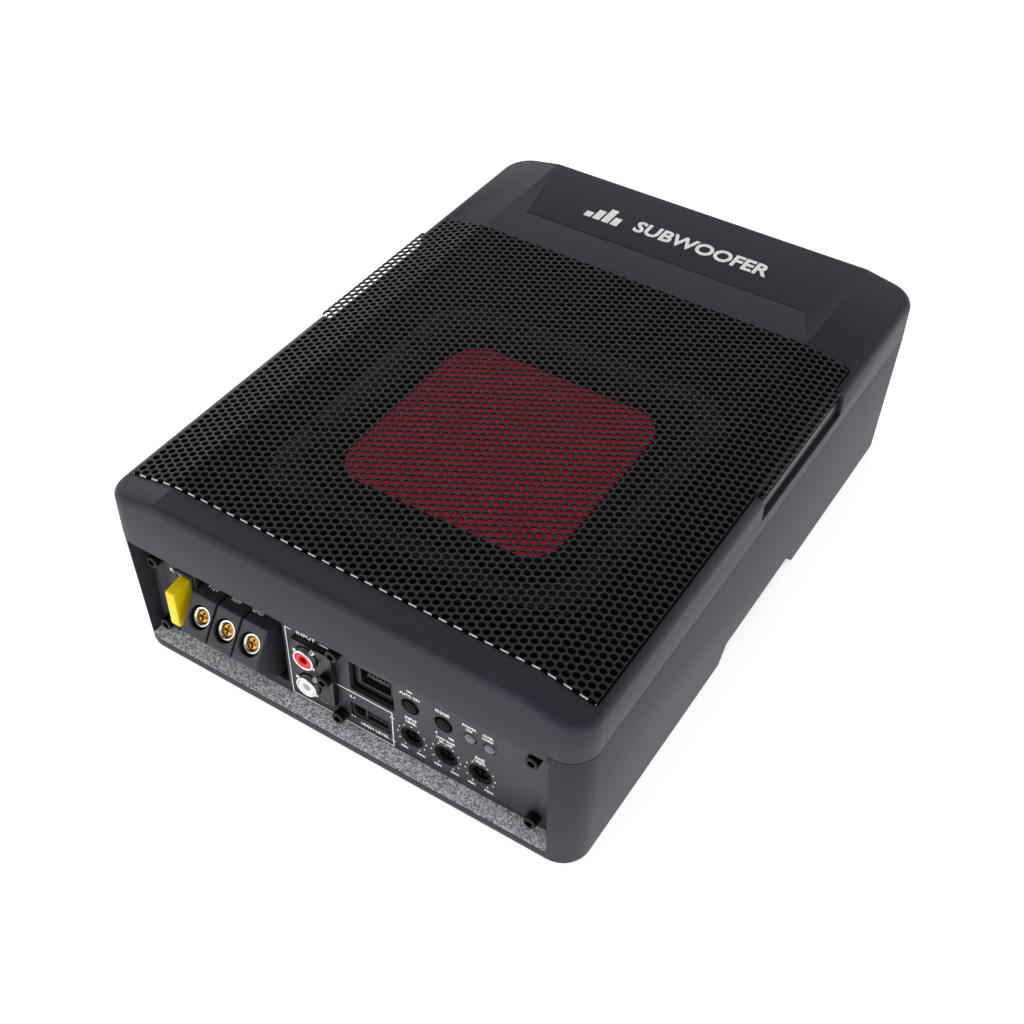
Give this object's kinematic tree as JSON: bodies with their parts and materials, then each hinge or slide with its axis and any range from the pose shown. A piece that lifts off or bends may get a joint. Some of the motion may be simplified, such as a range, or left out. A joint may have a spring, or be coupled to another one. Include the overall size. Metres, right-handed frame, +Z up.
{
  "type": "powered under-seat car subwoofer",
  "caption": "Flat powered car subwoofer: moulded case, perforated steel grille over a square red diaphragm, and a recessed control panel with sockets, fuse, pots and push switches.",
  "frame": {"origin": "middle of the underside, on the surface it stands on", "axes": "+Z up, control panel faces -Y, +X to the right when looking at the panel"},
  "size_m": [0.181, 0.2524, 0.075],
  "materials": {
    "case_plastic": "fine matt texture",
    "black_plastic": "satin",
    "grille_steel": "satin black paint",
    "plated_steel": "bright nickel plate",
    "black_steel": "satin black",
    "brass": "bright",
    "black_rubber": "matt",
    "ferrite": "matt dark ceramic",
    "circuit_board": "green solder mask",
    "capacitor_sleeve": "shrink sleeve",
    "heat_sink_aluminium": "satin",
    "lead_red": "cable sheath",
    "fuse_yellow": "clear tinted",
    "rca_white": "gloss",
    "rca_red": "gloss",
    "led_clear": "clear",
    "diaphragm_red": "satin deep red",
    "cone_paper": "coated paper",
    "spider_cloth": "resin-treated weave",
    "voice_coil_copper": "enamelled copper wire"
  },
  "bodies": {
    "case": {"amplifier_board": "circuit_board", "auto_on_switch_body": "black_plastic", "back_plate": "plated_steel", "baffle": "black_plastic", "boost_pot_body": "black_plastic", "capacitor_1": "capacitor_sleeve", "capacitor_2": "capacitor_sleeve", "case_gasket": "black_rubber", "clamp_ring": "black_steel", "control_board": "circuit_board", "control_panel": "case_plastic", "filter_pot_body": "black_plastic", "fuse_holder": "black_plastic", "gain_pot_body": "black_plastic", "grille": "grille_steel", "heat_sink": "heat_sink_aluminium", "high_level_socket": "black_plastic", "lower_case": "case_plastic", "magnet": "ferrite", "panel_screw_1": "black_steel", "panel_screw_2": "black_steel", "panel_screw_3": "black_steel", "panel_screw_4": "black_steel", "panel_screw_5": "black_steel", "panel_screw_6": "black_steel", "phase_switch_body": "black_plastic", "power_led": "led_clear", "protect_led": "led_clear", "rca_housing": "black_plastic", "rca_jack_left": "rca_white", "rca_jack_right": "rca_red", "rca_screw": "black_steel", "remote_socket": "black_plastic", "side_trim_left": "black_plastic", "side_trim_right": "black_plastic", "speaker_lead": "lead_red", "spider": "spider_cloth", "surround": "black_rubber", "terminal_block": "black_plastic", "terminal_collar_1": "plated_steel", "terminal_collar_2": "plated_steel", "terminal_collar_3": "plated_steel", "top_cover": "case_plastic", "top_plate": "plated_steel", "woofer_basket": "black_steel"},
    "moving_cone": {"diaphragm": "diaphragm_red", "cone": "cone_paper", "voice_coil": "voice_coil_copper"},
    "fuse": {"fuse": "fuse_yellow"},
    "wire_clamp_1": {"wire_clamp_1": "plated_steel"},
    "terminal_screw_1": {"terminal_screw_1": "brass"},
    "wire_clamp_2": {"wire_clamp_2": "plated_steel"},
    "terminal_screw_2": {"terminal_screw_2": "brass"},
    "wire_clamp_3": {"wire_clamp_3": "plated_steel"},
    "terminal_screw_3": {"terminal_screw_3": "brass"},
    "gain_pot_rotor": {"gain_pot_rotor": "black_plastic"},
    "filter_pot_rotor": {"filter_pot_rotor": "black_plastic"},
    "boost_pot_rotor": {"boost_pot_rotor": "black_plastic"},
    "auto_on_button": {"auto_on_button": "black_plastic"},
    "phase_button": {"phase_button": "black_plastic"}
  },
  "joints": [
    {"name": "cone_stroke", "type": "slide", "parent": "case", "child": "moving_cone", "axis": [0, 0, 1], "range_m": [-0.004, 0.004], "stiffness_N_per_m": 2500, "deforming": ["surround", "spider"]},
    {"name": "fuse_pull", "type": "slide", "parent": "case", "child": "fuse", "axis": [0, -1, 0], "range_m": [0, 0.02]},
    {"name": "clamp_1_press", "type": "slide", "parent": "case", "child": "wire_clamp_1", "axis": [0, 0.8156, -0.5786], "range_m": [0, 0.00299]},
    {"name": "terminal_screw_1_turn", "type": "hinge", "parent": "wire_clamp_1", "child": "terminal_screw_1", "pos_m": [-0.05793, -0.12325, 0.02875], "axis": [0, 0.8156, -0.5786], "range_deg": [0, 1540]},
    {"name": "clamp_2_press", "type": "slide", "parent": "case", "child": "wire_clamp_2", "axis": [0, 0.8156, -0.5786], "range_m": [0, 0.00299]},
    {"name": "terminal_screw_2_turn", "type": "hinge", "parent": "wire_clamp_2", "child": "terminal_screw_2", "pos_m": [-0.0472, -0.12325, 0.02875], "axis": [0, 0.8156, -0.5786], "range_deg": [0, 1540]},
    {"name": "clamp_3_press", "type": "slide", "parent": "case", "child": "wire_clamp_3", "axis": [0, 0.8156, -0.5786], "range_m": [0, 0.00299]},
    {"name": "terminal_screw_3_turn", "type": "hinge", "parent": "wire_clamp_3", "child": "terminal_screw_3", "pos_m": [-0.03647, -0.12325, 0.02875], "axis": [0, 0.8156, -0.5786], "range_deg": [0, 1540]},
    {"name": "gain_turn", "type": "hinge", "parent": "case", "child": "gain_pot_rotor", "pos_m": [0.0241, -0.117, 0.0156], "axis": [0, 1, 0], "range_deg": [-140, 140]},
    {"name": "filter_turn", "type": "hinge", "parent": "case", "child": "filter_pot_rotor", "pos_m": [0.0373, -0.117, 0.0156], "axis": [0, 1, 0], "range_deg": [-140, 140]},
    {"name": "boost_turn", "type": "hinge", "parent": "case", "child": "boost_pot_rotor", "pos_m": [0.0503, -0.117, 0.0156], "axis": [0, 1, 0], "range_deg": [-140, 140]},
    {"name": "auto_on_push", "type": "slide", "parent": "case", "child": "auto_on_button", "axis": [0, 1, 0], "range_m": [0, 0.0015], "stiffness_N_per_m": 600},
    {"name": "phase_push", "type": "slide", "parent": "case", "child": "phase_button", "axis": [0, 1, 0], "range_m": [0, 0.0015], "stiffness_N_per_m": 600}
  ],
  "couplings": [
    {"joint": "terminal_screw_1_turn", "follows": "clamp_1_press", "rad_per_m": 8976},
    {"joint": "terminal_screw_2_turn", "follows": "clamp_2_press", "rad_per_m": 8976},
    {"joint": "terminal_screw_3_turn", "follows": "clamp_3_press", "rad_per_m": 8976}
  ]
}
